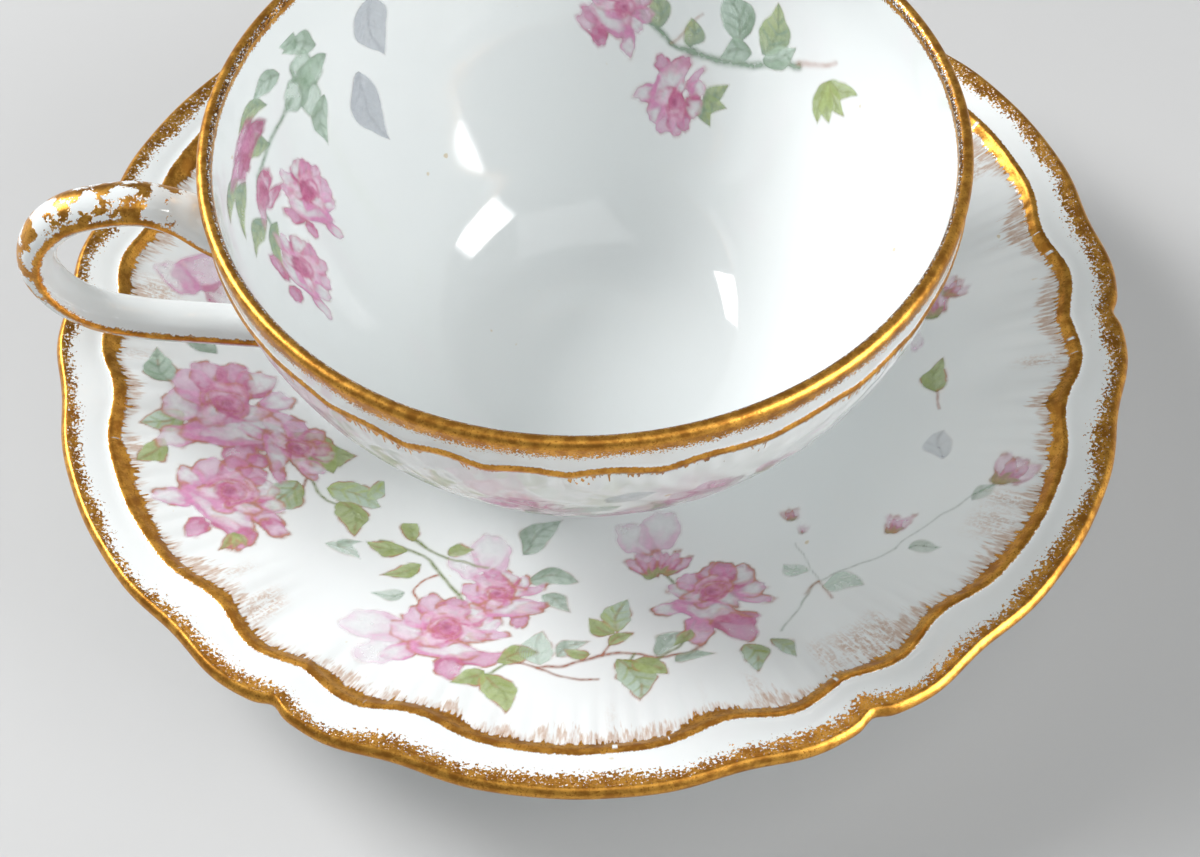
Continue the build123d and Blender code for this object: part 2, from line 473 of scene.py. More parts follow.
def cup_porcelain():
    """White glaze with the cup's gold lip and its feathered gold line."""
    nodes = Nodes("cup_porcelain")
    x, y, z = nodes.parts()
    drop, wave = nodes.value("drop"), nodes.value("wave")
    sponge = nodes.noise(nodes.place, 2.6, 3.0, 0.62)
    grit = nodes.noise(nodes.place, 3.6, 1.0)
    slow = nodes.noise(nodes.place, 0.1, 2.0)
    outside = drop.step(-0.1, 0.1)
    dots = nodes.noise(nodes.place, 4.4, 1.0)
    outer = ((dots - 0.5) * 5.0 + (sponge - 0.5) * 3.0 - (drop - slow * 2.4 - 1.2)
        * 1.35).step(-0.15, 0.2)
    inner = ((dots - 0.5) * 2.0 + (sponge - 0.5) * 1.7 + (drop + slow * 0.9 + 1.1)
        * 1.7).step(-0.1, 0.18)
    lip = outer * outside + inner * (1 - outside)
    crest = drop.step(-1.0, -0.75) * (1 - drop.step(-0.22, -0.06))
    lip = lip * (1 - (dots * 0.5 + sponge * 0.5).step(0.545, 0.58) * crest * 0.95)
    soot = crest * (dots * 0.4 + grit * 0.6 + 0.08).step(0.48, 0.56) * 0.85
    strokes = nodes.noise(nodes.join(x, y, z * 0.16), 2.4, 2.0)
    upper = (wave * -1 + 0.75 + (sponge - 0.5) * 0.5).step(-0.05, 0.1)
    feather = strokes.step(0.4, 0.72) * slow.step(0.35, 0.62) * 3.0
    lower = (wave + 0.65 + feather + (sponge - 0.5) * 0.4).step(-0.1, 0.14)
    line = upper * lower * outside
    gold = lip.most(line)
    cloud = nodes.noise(nodes.place, 0.16, 2.0)
    below = (drop - 9.0).step(0.0, 4.0) * (1 - drop.step(24.0, 34.0))
    rosy = nodes.blend(cloud.step(0.4, 0.6), colour(linear(0.80, 0.86, 0.81)),
        colour(linear(0.90, 0.80, 0.87)))
    veil = nodes.noise(nodes.place, 0.22, 4.0, 0.6).step(0.54, 0.68) * below * 0.35
    varying = glazed(nodes, gold, grit, (veil, rosy), soot)
    return nodes.surface(GLAZE, varying)


def handle_porcelain():
    """White glaze with the gold ridge of the handle and worn gold over its upper arm."""
    nodes = Nodes("handle_porcelain")
    ridge, crown = nodes.value("ridge"), nodes.value("crown")
    sponge = nodes.noise(nodes.place, 1.9, 3.0, 0.62)
    grit = nodes.noise(nodes.place, 3.2, 1.0)
    line = (ridge * -1 + 0.72 + (sponge - 0.5) * 1.4).step(-0.1, 0.18)
    wear = nodes.noise(nodes.place, 0.26, 5.0, 0.62)
    dots = nodes.noise(nodes.place, 3.6, 1.0)
    patches = (wear + crown * 0.11 - 0.125 + (dots - 0.5) * 0.1).step(0.48,
        0.505) * crown.step(0.05, 0.25)
    gold = line.most(patches)
    return nodes.surface(GLAZE, glazed(nodes, gold, grit))


def foot_porcelain():
    """Glazed sides and a ground, unglazed face where a ring stands."""
    nodes = Nodes("foot_porcelain")
    bare = nodes.value("bare")
    grain = nodes.noise(nodes.place, 2.8, 4.0, 0.7)
    ground = nodes.blend(grain, colour(linear(0.86, 0.84, 0.79)), colour(linear(0.93, 0.92, 0.89)))
    grey = nodes.noise(nodes.place, 0.3, 3.0).step(0.5, 0.75) * 0.25
    ground = nodes.blend(grey, ground, colour(linear(0.62, 0.58, 0.52)))
    looks = bpy.context.scene.teacup_looks
    base = nodes.blend(bare, colour(looks.porcelain), ground)
    varying = {
        "Base Color": base,
        "Roughness": bare * 0.6 + grain * 0.06 + 0.05,
        "Normal": nodes.bump(grain * bare, 0.05),
    }
    return nodes.surface(GLAZE, varying)


def painted_film(name, fade):
    """Enamel colours fired on the glaze, clear where nothing is painted."""
    nodes = Nodes(name)
    paint = nodes.add("ShaderNodeAttribute", {"attribute_name": "paint"}, output="Color")
    cover = nodes.value("cover")
    mottle = nodes.noise(nodes.place, 1.3, 3.0, 0.6)
    looks = bpy.context.scene.teacup_looks
    base = nodes.blend(mottle * 0.22, paint, colour(looks.porcelain))
    varying = {
        "Base Color": base,
        "Alpha": cover * (mottle * 0.3 + 0.82) * fade,
        "Roughness": mottle * 0.06 + 0.06,
        "Normal": nodes.bump(mottle, 0.012),
    }
    return nodes.surface(GLAZE, varying)


# ---- brushwork ----
PINK_DEEP = linear(0.78, 0.30, 0.53)
PINK = linear(0.88, 0.53, 0.74)
PINK_PALE = linear(0.94, 0.75, 0.87)
WHITE = linear(0.965, 0.955, 0.97)
MAGENTA = linear(0.66, 0.16, 0.42)
RUST = linear(0.74, 0.40, 0.22)
OLIVE = linear(0.55, 0.62, 0.24)
LEAF = linear(0.68, 0.76, 0.42)
MINT = linear(0.77, 0.87, 0.79)
GREY = linear(0.74, 0.76, 0.80)
SAGE = linear(0.50, 0.62, 0.50)


class Cloud:
    """Smooth seeded noise over the plane, 0 to 1."""

    def __init__(self, seed):
        self.table = np.random.default_rng(seed).random((64, 64))

    def __call__(self, x, y, size):
        u, v = x / size + 20, y / size + 20
        left, low = np.floor(u).astype(int), np.floor(v).astype(int)
        s, t = u - left, v - low
        s, t = s * s * (3 - 2 * s), t * t * (3 - 2 * t)
        grid = self.table
        a, b = grid[left % 64, low % 64], grid[(left + 1) % 64, low % 64]
        c, d = grid[left % 64, (low + 1) % 64], grid[(left + 1) % 64, (low + 1) % 64]
        return (a + (b - a) * s) * (1 - t) + (c + (d - c) * s) * t


class Canvas:
    """Paint on a set of places: colour and cover of each."""

    def __init__(self, x, y, seed, outline=0.75):
        cloud = Cloud(seed)
        self.warp = cloud(x, y, 2.3) - 0.5, cloud(y + 40, x - 7, 2.3) - 0.5
        self.x = x + 0.75 * self.warp[0]
        self.y = y + 0.75 * self.warp[1]
        self.paint = np.tile(PINK_PALE, (len(x), 1))
        self.cover = np.zeros(len(x))
        self.draw = np.random.default_rng(seed)
        self.outline = outline
        self.wash = 0.45 + 0.75 * cloud(x, y, 1.7) * cloud(x + 9, y - 5, 0.8) ** 0.5
        self.breaks = ramp(cloud(x - 3, y + 8, 1.15), 0.34, 0.7)
        self.fine = cloud(x + 5, y + 3, 0.45)

    def lay(self, mask, tone):
        """Lays a tone over what is there."""
        share = np.clip(mask, 0, 1)[:, None]
        under = self.cover[:, None] * (1 - share)
        total = under + share
        mixed = (self.paint * under + tone * share) / np.maximum(total, 1e-6)
        self.paint = np.where(share > 0, mixed, self.paint)
        self.cover = total[:, 0]

    def local(self, x, y, angle):
        """Places along and across a direction from a point."""
        c, s = math.cos(angle), math.sin(angle)
        dx, dy = self.x - x, self.y - y
        return dx * c + dy * s, dy * c - dx * s

    def petal(self, x, y, length, width, angle, deep=PINK, light=WHITE, strength=0.9, line=1.0):
        """One petal about its middle: deep at the root, light inside, washed again at its rim."""
        u, v = self.local(x, y, angle)
        turn = np.arctan2(v / width, u / length)
        lobes = self.draw.integers(2, 5)
        frill = 1 + 0.07 * np.cos(lobes * turn + self.draw.uniform(0, 6)) + 0.04 * np.cos(7 * turn
            + length)
        away = (np.hypot(u / length, v / width) - frill) * min(length, width)
        body = 1 - ramp(away, -0.35, 0.15)
        root = 1 - ramp(u / length, -0.75, 0.35 + 0.5 * (self.fine - 0.5))
        streak = 0.5 + 0.5 * np.sin(v * 7.5 / width + 2.5 * self.fine + u * 0.5)
        rim = bell(away + 0.2, min(length, width) * 0.28) * (0.45 + 0.55 * streak)
        share = np.clip(root * (0.55 + 0.45 * streak) + rim * 0.75, 0, 1)[:, None]
        tone = light + (deep - light) * share
        cover = body * strength * (0.42 + 0.58 * np.maximum(share[:, 0], self.wash * 0.55))
        self.lay(cover * (0.72 + 0.28 * self.wash), tone)
        pen = bell(away + 0.05, 0.1 + 0.14 * self.fine) * self.breaks
        self.lay(pen * strength * self.outline * line, RUST)

    def heart(self, x, y, size, turn, strength=0.9):
        """Tightly wound middle of a rose."""
        self.petal(x, y, size * 0.30, size * 0.24, turn, PINK_DEEP, PINK, strength)
        for ring, reach in enumerate((0.13, 0.22, 0.32, 0.42)):
            start = turn + ring * 2.1
            angles = np.linspace(start, start + 2.6, 6)
            points = [(x + size * reach * math.cos(a), y + size * reach * 0.8 * math.sin(a))
                for a in angles]
            self.stroke(points, size * 0.035 + 0.12, PINK_DEEP, strength * 0.9)
            if self.outline > 0.3:
                self.stroke([(px * 1.0 + 0.25, py - 0.2) for px, py in points], 0.13, RUST,
                    strength * 0.65)
        self.lay(bell(np.hypot(self.x - x, self.y - y), size * 0.12) * strength, MAGENTA)

    def rose(self, x, y, size, turn=0.0, strength=0.9):
        """An open rose seen half from the side: back petals, heart, wide front petal, two low ones."""
        c, s = math.cos(turn), math.sin(turn)
        table = (
            (-0.82, -0.42, 0.36, 0.22, 3.5, PINK, WHITE),
            (0.80, -0.12, 0.38, 0.16, -0.25, PINK, PINK_PALE),
            (-0.62, 0.16, 0.38, 0.28, 2.9, PINK, WHITE),
            (0.72, 0.16, 0.34, 0.22, 0.3, PINK, WHITE),
            (-0.44, 0.50, 0.36, 0.32, 2.3, PINK, PINK_PALE),
            (0.50, 0.50, 0.36, 0.30, 0.8, PINK_DEEP, WHITE),
            (-0.08, 0.70, 0.38, 0.30, 1.7, PINK_DEEP, PINK_PALE),
            (0.24, 0.66, 0.34, 0.30, 1.2, PINK_DEEP, PINK),
            (-0.10, -0.88, 0.30, 0.24, -1.7, PINK_DEEP, PINK),
            (0.46, -0.70, 0.46, 0.22, -0.25, PINK_DEEP, PINK),
            (-0.06, -0.36, 0.74, 0.32, -0.22, PINK, WHITE),
            (0.02, 0.20, 0.52, 0.42, 1.4, PINK, WHITE),
            (-0.20, 0.02, 0.40, 0.22, 3.6, PINK_DEEP, WHITE),
            (0.30, 0.0, 0.40, 0.20, -0.5, PINK_DEEP, WHITE),
            (0.06, 0.22, 0.36, 0.30, 1.6, PINK_DEEP, PINK_PALE),
        )
        for px, py, length, width, angle, deep, light in table:
            px += self.draw.uniform(-0.07, 0.07)
            py += self.draw.uniform(-0.07, 0.07)
            grow = self.draw.uniform(0.86, 1.16)
            place = x + size * (px * c - py * s), y + size * (px * s + py * c)
            angle += turn + self.draw.uniform(-0.25, 0.25)
            self.petal(*place, size * length * grow, size * width * grow, angle, deep, light,
                strength)
        self.heart(x + size * 0.18 * -s, y + size * 0.18 * c, size * 0.8, turn + 0.6, strength)

    def bud(self, x, y, size, angle, strength=0.85):
        """A closed bud on its calyx."""
        for turn in (-0.42, 0.42, 0.0):
            reach = size * 0.55
            place = x + reach * math.cos(angle + turn), y + reach * math.sin(angle + turn)
            self.petal(*place, size * 0.5, size * 0.24, angle + turn, PINK_DEEP, PINK_PALE,
                strength)
        for turn in (-0.8, 0.0, 0.8):
            self.leaf(x, y, size * 0.5, size * 0.12, angle + turn, OLIVE, LEAF, strength)

    def leaf(self, x, y, length, width, angle, base=OLIVE, tip=MINT, strength=0.9, veins=0.8):
        """A toothed leaf: a pale wash, olive strokes along its veins and a broken outline."""
        u, v = self.local(x, y, angle)
        v = v - 0.12 * length * np.sin(np.clip(u / length, 0, 1) * math.pi)
        t = np.clip(u / length, 0, 1)
        teeth = 1 + 0.12 * veins * np.abs(np.sin(t * math.pi * max(2.5, round(length / 1.8))))
        half = 0.86 * width * np.sin(math.pi * t**0.8) * teeth + 1e-6
        away = np.maximum(np.abs(v) - half, (np.abs(u / length - 0.5) - 0.5) * length)
        body = 1 - ramp(away, -0.3, 0.12)
        rib = np.abs(np.sin((t * length - np.abs(v) * 0.9) * math.pi / 1.7))
        stroke = (1 - ramp(rib, 0.0, 0.75)) * (1 - ramp(np.abs(v) / half, 0.55, 1.0))
        shade = np.clip((1 - t) * 0.8 + stroke * 0.55 + 0.45
            * ramp(v, -width * 0.2, width * 0.5) - 0.2, 0, 1)
        tone = tip + (base - tip) * (shade * (0.5 + self.wash * 0.6))[:, None]
        self.lay(body * strength * (0.5 + 0.5 * np.maximum(shade, self.wash * 0.7)), tone)
        warm = self.outline * veins * strength
        self.lay(bell(v, 0.16) * body * warm * self.breaks * (1 - ramp(t, 0.7, 1)), RUST * 0.85)
        self.lay(bell(away + 0.05, 0.16) * self.breaks * warm * ramp(t, 0.02, 0.1), RUST)
        self.lay(bell(v, 0.2) * body * 0.5 * strength, base * 0.7)

    def stroke(self, points, width, tone, strength=0.85):
        """A brush line through points."""
        line = smooth_path(points, 3 * len(points)) if len(points) > 2 else np.array(points, float)
        low, high = line.min(axis=0) - 1.5, line.max(axis=0) + 1.5
        near = (self.x > low[0]) & (self.x < high[0]) & (self.y > low[1]) & (self.y < high[1])
        x, y = self.x[near], self.y[near]
        nearest = np.full(len(x), 99.0)
        for start, end in zip(line[:-1], line[1:]):
            step = end - start
            share = ((x - start[0]) * step[0] + (y - start[1]) * step[1]) / max(step @ step, 1e-9)
            share = np.clip(share, 0, 1)
            gap = np.hypot(x - start[0] - share * step[0], y - start[1] - share * step[1])
            nearest = np.minimum(nearest, gap)
        mask = np.zeros(len(self.x))
        mask[near] = bell(nearest, width) * strength * (0.55 + 0.45 * self.fine[near])
        self.lay(mask, np.asarray(tone))


def left_cluster(art):
    """Three full roses with their leaves."""
    art.leaf(-57.5, -3.5, 6.5, 2.3, 1.9, SAGE, MINT)
    art.leaf(-56.0, -8.0, 6.0, 2.2, 3.6, OLIVE, MINT)
    art.leaf(-52.0, 3.0, 6.0, 2.0, 2.2, SAGE, MINT, 0.7)
    art.leaf(-58.0, -13.0, 5.5, 2.0, 4.0, OLIVE, LEAF)
    art.stroke(((-44, -12), (-40, -16), (-38, -20), (-34, -21)), 0.22, OLIVE * 0.8)
    art.stroke(((-40, -16), (-43, -22), (-47, -25)), 0.22, RUST * 0.8)
    art.leaf(-43.0, -9.0, 8.5, 3.4, -0.75, OLIVE, LEAF)
    art.leaf(-40.0, -13.5, 6.5, 2.6, 0.35, OLIVE, LEAF)
    art.leaf(-41.5, -17.0, 8.0, 2.6, -2.2, OLIVE, MINT)
    art.leaf(-38.0, -18.0, 7.5, 2.5, -0.35, LEAF, MINT)
    art.leaf(-36.0, -20.0, 6.5, 2.2, -1.3, OLIVE, LEAF)
    art.leaf(-33.0, -18.5, 5.0, 1.7, 0.25, LEAF, MINT)
    art.rose(-50.5, -21.8, 7.0, -0.35)
    art.rose(-50.2, -6.6, 8.4, 0.25, 0.82)
    art.rose(-42.6, -11.6, 5.4, -0.9)
    art.petal(-48.2, -28.8, 2.6, 1.6, -2.0, PINK_DEEP, PINK)
    art.petal(-44.3, -26.4, 2.0, 1.2, -0.8, PINK_DEEP, PINK_PALE)
    for turn in (-2.0, -1.5, -1.0):
        art.leaf(-49.5, -28.0, 3.2, 0.8, turn, OLIVE, LEAF)
    art.leaf(-38.0, -28.5, 5.0, 1.4, -0.5, MINT, MINT, 0.5, 0.3)
    art.petal(-53.5, 16.6, 4.6, 2.8, 0.4, PINK, PINK_PALE, 0.6, 0.15)
    art.petal(-57.0, 15.0, 3.4, 2.2, 2.4, PINK, WHITE, 0.55, 0.15)
    art.petal(-50.5, 13.0, 3.2, 2.4, -0.4, PINK_DEEP, WHITE, 0.55, 0.15)
    art.leaf(-36.5, -29.0, 3.5, 1.0, 0.5, SAGE, MINT, 0.6, 0.3)


def front_cluster(art):
    """Two roses with pale petals round them and a leafy sprig above."""
    art.petal(-31.8, -43.2, 4.4, 2.9, 2.9, PINK_PALE, WHITE, 0.6, 0.15)
    art.petal(-30.5, -47.0, 4.0, 2.5, 3.6, PINK_PALE, WHITE, 0.55, 0.15)
    art.petal(-16.6, -29.2, 3.7, 2.7, 1.5, PINK_PALE, WHITE, 0.65, 0.2)
    art.petal(-20.2, -31.0, 3.2, 2.3, 2.1, PINK_PALE, WHITE, 0.55, 0.2)
    art.leaf(-12.5, -29.5, 8.0, 2.5, 0.75, SAGE, MINT, 0.65, 0.3)
    art.leaf(-12.0, -34.0, 6.5, 2.0, -0.15, SAGE, MINT, 0.75, 0.3)
    art.leaf(-10.5, -37.0, 5.0, 1.5, -0.9, SAGE, MINT, 0.6, 0.3)
    art.stroke(((-31, -27), (-26, -29), (-23, -34), (-21, -38)), 0.24, OLIVE * 0.8)
    art.stroke(((-27, -26), (-22, -30), (-17, -31.5)), 0.24, OLIVE * 0.8)
    art.stroke(((-24, -33), (-27, -36), (-26, -39)), 0.16, RUST)
    art.leaf(-27.0, -26.5, 5.0, 1.5, 1.5, OLIVE, LEAF)
    art.leaf(-27.5, -28.5, 5.5, 1.6, 2.9, OLIVE, LEAF)
    art.leaf(-26.0, -31.0, 5.5, 1.5, 3.6, OLIVE, LEAF)
    art.leaf(-22.5, -29.0, 4.0, 1.2, 0.2, OLIVE, LEAF)
    art.leaf(-28.0, -36.5, 4.5, 1.3, 3.3, SAGE, MINT, 0.5, 0.3)
    art.rose(-15.6, -37.4, 5.4, 0.5)
    art.rose(-23.2, -44.6, 7.0, 0.1, 0.85)
    art.stroke(((-16, -50.5), (-18, -52), (-21, -52.5)), 0.22, OLIVE * 0.8)
    art.leaf(-17.0, -50.0, 5.5, 1.9, 0.3, OLIVE, LEAF)
    art.leaf(-18.5, -51.5, 5.0, 1.6, 3.5, OLIVE, LEAF)
    art.leaf(-19.0, -52.0, 7.0, 2.4, -1.2, OLIVE, LEAF)


def trailing_sprig(art):
    """A branching stem with single leaves between two roses."""
    art.stroke(((-15.5, -49.5), (-12, -51.5), (-8, -53.5), (-5, -53.8)), 0.2, RUST * 0.75)
    art.stroke(((-12, -51.5), (-8, -50.8), (-4, -50), (0, -50), (4, -51.5), (9, -50)), 0.24,
        RUST * 0.8)
    art.stroke(((-4, -50), (-2.2, -47), (-1.4, -44)), 0.2, RUST * 0.85)
    art.stroke(((0, -50), (-1.2, -52.5)), 0.2, OLIVE * 0.7)
    art.leaf(-11.5, -51.0, 6.5, 2.6, 1.5, MINT, MINT, 0.6, 0.6)
    art.leaf(-9.5, -49.5, 5.0, 1.6, 0.6, SAGE, MINT, 0.6, 0.5)
    art.leaf(-5.5, -49.6, 3.2, 1.2, 2.7, OLIVE, LEAF)
    art.leaf(-1.8, -45.5, 6.5, 2.2, 1.2, LEAF, MINT)
    art.leaf(-2.2, -46.0, 4.8, 1.7, 2.2, OLIVE, LEAF)
    art.leaf(-3.0, -48.3, 4.0, 1.2, 0.6, OLIVE, LEAF)
    art.leaf(-2.0, -50.8, 7.8, 2.8, -1.35, OLIVE, MINT)
    art.leaf(-0.5, -51.5, 5.0, 1.6, -0.6, OLIVE, LEAF)
    art.leaf(3.0, -51.0, 5.5, 1.8, 0.9, SAGE, MINT, 0.6, 0.3)
    art.leaf(4.5, -52.5, 5.5, 1.2, 0.1, SAGE, MINT, 0.7, 0.3)
    art.petal(6.2, -27.4, 3.8, 2.7, 1.3, PINK_PALE, WHITE, 0.6, 0.1)
    art.petal(2.6, -28.2, 3.4, 2.5, 2.0, PINK_PALE, WHITE, 0.55, 0.1)
    art.stroke(((6, -35), (7, -38), (9, -41)), 0.2, OLIVE * 0.75)
    art.bud(4.8, -36.0, 5.2, 1.9)
    art.bud(6.0, -35.5, 4.4, 1.1)
    art.rose(11.2, -41.0, 6.4, -0.2)
    art.petal(8.4, -47.2, 2.9, 2.0, -1.7, PINK, PINK_PALE)
    art.petal(13.2, -47.6, 3.3, 2.3, -0.9, PINK_DEEP, PINK)
    art.leaf(7.5, -46.5, 4.0, 1.3, -2.3, OLIVE, LEAF)
    art.stroke(((7, -48), (5.5, -50), (3, -51.5)), 0.22, OLIVE * 0.75)
    art.leaf(13.5, -51.0, 5.5, 1.9, -1.4, OLIVE, MINT)
    art.leaf(17.0, -51.0, 4.4, 1.4, -1.0, OLIVE, MINT, 0.8)


def faint_sprays(art):
    """Thin stems with small pale buds."""
    art.stroke(((18.5, -50), (21, -47), (24.5, -42), (30, -41), (35, -39.5)), 0.16, SAGE, 0.4)
    art.stroke(((24.5, -42), (24, -38), (23.5, -34)), 0.13, SAGE, 0.35)
    art.stroke(((24.4, -42), (25.6, -45.5)), 0.18, RUST, 0.5)
    art.stroke(((24.4, -42), (22.4, -44)), 0.18, RUST, 0.45)
    art.stroke(((35, -39.5), (42, -36), (49, -33)), 0.14, SAGE, 0.35)
    art.leaf(36.5, -40.5, 4.0, 1.3, -0.2, SAGE, MINT, 0.45, 0.3)
    art.leaf(46.0, -35.0, 4.0, 1.2, 0.5, SAGE, MINT, 0.4, 0.3)
    art.bud(35.4, -37.0, 3.6, 1.1, 0.5)
    art.bud(49.5, -33.5, 5.2, 0.7, 0.55)
    art.bud(24.0, -29.8, 2.4, 1.6, 0.45)
    art.bud(24.5, -32.6, 1.9, 1.2, 0.35)
    art.leaf(24.6, -43.0, 5.5, 2.0, -0.3, MINT, MINT, 0.5, 0.2)
    art.leaf(23.8, -40.0, 4.0, 1.4, 2.4, MINT, MINT, 0.45, 0.2)
    art.leaf(46.2, -14.5, 6.0, 2.0, 1.25, OLIVE, LEAF, 0.85)
    art.stroke(((46.4, -14.2), (45.6, -17.5)), 0.18, RUST, 0.6)
    art.bud(48.5, -1.5, 4.8, 1.5, 0.6)
    art.bud(50.5, 1.0, 3.4, 0.6, 0.45)
    art.petal(45.4, -4.8, 1.7, 1.1, 1.2, PINK_PALE, WHITE, 0.4, 0.1)
    art.leaf(44.0, -26.0, 5.0, 2.2, 1.3, GREY, GREY, 0.35, 0.2)


def cup_left_roses(art):
    """Deep pink roses and pale leaves inside the bowl beside the handle."""
    art.leaf(-24.5, 46.5, 8.5, 3.2, -1.5, GREY, GREY, 0.65, 0.1)
    art.leaf(-19.0, 38.0, 9.0, 3.0, -1.55, GREY, GREY, 0.7, 0.1)
    for x, y, angle in ((-15, 45, 0.5), (-16, 43, -0.3), (-12, 47, 0.9), (-8, 46, 0.2),
            (-13, 39, -0.9)):
        art.leaf(x, y, 6.5, 1.7, angle, SAGE, MINT, 0.75, 0.3)
    for x, y, angle in ((-11.5, 44, 2.0), (-9, 42, 0.2), (-11, 40.5, -1.4), (-12.5, 42.5, 3.1)):
        art.petal(x, y, 2.6, 1.9, angle, SAGE, MINT, 0.7, 0.3)
    for x, y, angle in ((-4, 45, 0.3), (-1, 41, 0.5), (8, 44.5, 0.1), (7, 43, -0.2),
            (8.5, 37.5, 0.2), (7, 36, -0.4)):
        art.leaf(x, y, 8.0, 1.5, angle, SAGE, LEAF, 0.8, 0.4)
    art.stroke(((-8, 42), (0, 41), (6, 40), (9, 36)), 0.35, SAGE, 0.7)
    for x, y, angle in ((3.0, 46.0, 0.1), (4.0, 44.3, -0.2), (6.5, 45.0, 0.15), (1.5, 44.6, 0.3)):
        art.petal(x, y, 4.2, 1.3, angle, MAGENTA, PINK, 0.85, 0.2)
    for x, y, angle in ((4.5, 39.6, 0.0), (7.0, 38.9, -0.3), (5.2, 37.9, 0.3)):
        art.petal(x, y, 3.3, 1.1, angle, PINK_DEEP, PINK_PALE, 0.85, 0.2)
    art.rose(-0.6, 32.2, 5.0, 1.2, 1.0)
    art.rose(11.3, 30.4, 5.2, 2.0, 1.0)
    for x, y in ((-0.9, 33.0), (10.6, 31.0), (4.6, 43.8), (6.0, 38.8)):
        art.petal(x, y, 1.5, 1.1, x, MAGENTA, PINK_DEEP, 0.9, 0.1)


def cup_right_roses(art):
    """Roses on a long green stem on the far wall inside the bowl."""
    art.stroke(((22, 42), (16, 38.5), (12.8, 36.7), (8, 33.4), (3.4, 32.6), (-3, 33.5),
        (-11.4, 36.7)), 0.42, SAGE)
    art.stroke(((8, 33.4), (5.5, 35.5), (4, 38)), 0.2, RUST, 0.4)
    for x, y, angle, size in ((13, 37.5, 0.5, 6), (10, 35, 1.2, 5.5), (5, 33, 1.5, 4)):
        art.leaf(x, y, size, 1.8, angle, SAGE, LEAF, 0.7, 0.3)
    art.leaf(-2.0, 35.5, 7.5, 2.8, 1.0, SAGE, MINT, 0.85, 0.3)
    art.leaf(-5.5, 35.5, 7.5, 2.6, 1.6, SAGE, LEAF, 0.85, 0.4)
    art.leaf(-6.0, 35.0, 5.5, 2.0, 2.4, SAGE, MINT, 0.8, 0.3)
    art.leaf(-4.0, 35.0, 5.0, 1.7, -0.4, SAGE, MINT, 0.8, 0.3)
    art.stroke(((-11, 37), (-14, 38), (-16.5, 40)), 0.3, RUST, 0.35)
    for angle in (-2.2, -2.7, -1.8, 2.9):
        art.leaf(-16.5, 37.5, 5.5, 1.5, angle, OLIVE, LEAF, 0.8, 0.7)
    for angle in (2.6, 3.3, -2.3):
        art.leaf(1.5, 28.3, 4.6, 1.3, angle, SAGE, LEAF, 0.8, 0.3)
    art.rose(6.2, 27.0, 4.9, 2.6)
    art.rose(15.8, 36.4, 4.6, 0.8)
    art.petal(19.5, 34.5, 2.6, 1.5, 0.6, PINK_DEEP, PINK_PALE, 0.7, 0.2)


def cup_outer_roses(art):
    """Loose spray on the outside of the bowl."""
    art.stroke(((-20, 33), (-12, 30), (-4, 33), (4, 30), (13, 34), (20, 31)), 0.3, OLIVE * 0.8,
        0.6)
    for x, y, angle, size in (
        (-20, 33, 2.2, 6), (-16, 31, -1.2, 7), (-12, 31, 1.3, 6.5), (-5, 33, 0.7, 7.5),
        (-4, 32, -0.9, 7),
        (4, 31, -1.4, 6.5), (5, 31, 0.9, 8), (13, 34, 1.5, 6), (13, 33.5, -0.7, 7),
        (20, 31, 0.3, 6),
    ):
        art.leaf(x, y, size, size * 0.33, angle, SAGE, MINT, 0.8, 0.6)
    art.rose(-9.5, 34.5, 5.8, 0.5)
    art.rose(9.5, 36.0, 5.0, -0.6)
    art.rose(0.5, 27.5, 4.6, 0.2)
    art.bud(17.0, 36.0, 4.6, 1.2)
    art.bud(-19.0, 29.0, 4.2, 3.6)
    art.leaf(-1.0, 39.5, 6.0, 2.0, 0.4, GREY, GREY, 0.6, 0.3)


def paint_film(name, low, high, spacing, artwork, place, seed, flip=False, outline=0.75):
    """Grid of paint: drawn flat, trimmed to what is painted, then laid on its surface."""
    clear_selection()
    width, depth = high[0] - low[0], high[1] - low[1]
    across, deep = max(2, round(width / spacing)), max(2, round(depth / spacing))
    bpy.ops.mesh.primitive_grid_add(x_subdivisions=across, y_subdivisions=deep, size=2 * MM)
    film = bpy.context.object
    film.name = name
    film.data.name = name
    unit = read_points(film)
    x = low[0] + (unit[:, 0] + 1) / 2 * width
    y = low[1] + (unit[:, 1] + 1) / 2 * depth
    art = Canvas(x, y, seed, outline)
    artwork(art)
    art.cover = art.cover * (0.985 > np.maximum(np.abs(unit[:, 0]), np.abs(unit[:, 1])))
    write_colours(film, "paint", art.paint)
    write_values(film, "cover", art.cover)
    write_points(film, place(x, y))
    corners = np.empty(len(film.data.polygons) * 4, dtype=np.int32)
    film.data.polygons.foreach_get("vertices", corners)
    bare = (art.cover[corners.reshape(-1, 4)] < 0.02).all(axis=1)
    bpy.ops.object.mode_set(mode="EDIT")
    bpy.ops.mesh.select_mode(type="FACE")
    bpy.ops.mesh.select_all(action="DESELECT")
    bpy.ops.object.mode_set(mode="OBJECT")
    film.data.polygons.foreach_set("select", bare)
    bpy.ops.object.mode_set(mode="EDIT")
    bpy.ops.mesh.delete(type="FACE")
    if flip:
        bpy.ops.mesh.select_all(action="SELECT")
        bpy.ops.mesh.flip_normals()
    bpy.ops.mesh.select_mode(type="VERT")
    bpy.ops.object.mode_set(mode="OBJECT")
    return film


